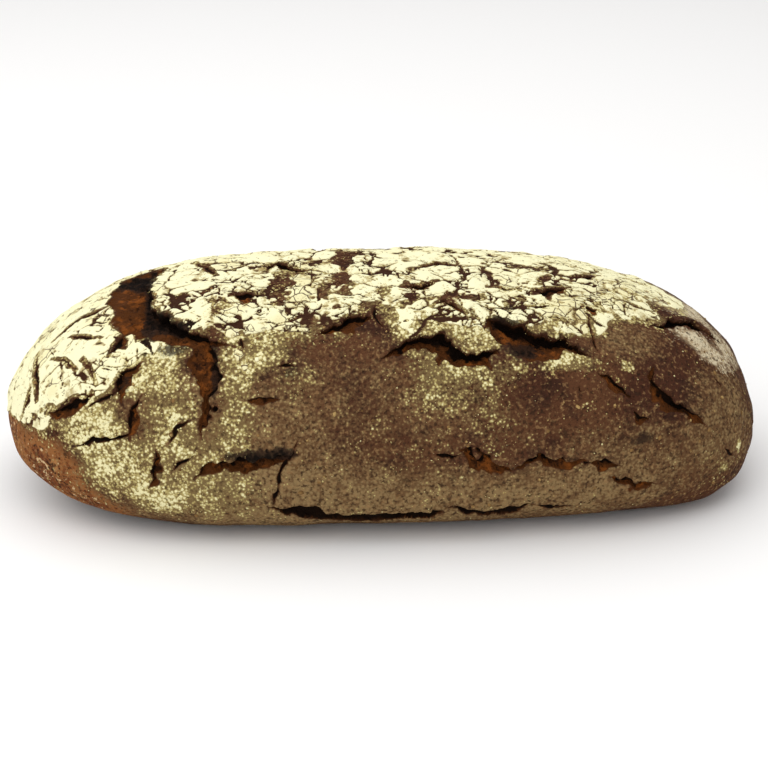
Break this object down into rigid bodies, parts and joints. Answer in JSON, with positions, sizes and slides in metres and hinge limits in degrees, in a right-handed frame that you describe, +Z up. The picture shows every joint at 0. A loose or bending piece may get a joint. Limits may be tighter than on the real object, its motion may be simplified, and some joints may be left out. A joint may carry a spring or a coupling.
{
  "type": "farmhouse loaf",
  "caption": "Long free-form rye loaf with a domed crust, torn ridges with raised lips, a floured back and a flat base to rest on.",
  "frame": {"origin": "under the middle of the loaf, on the flat base it rests on", "axes": "+X along the loaf to its right tip, -Y its front, +Z up"},
  "size_m": [0.3606, 0.1662, 0.1076],
  "materials": {
    "crust": "matt dark brown baked rye crust with cream flour burnt on",
    "flour": "dry cream flour, caked and cracked"
  },
  "bodies": {
    "root": {"loaf": "crust"}
  },
  "joints": []
}
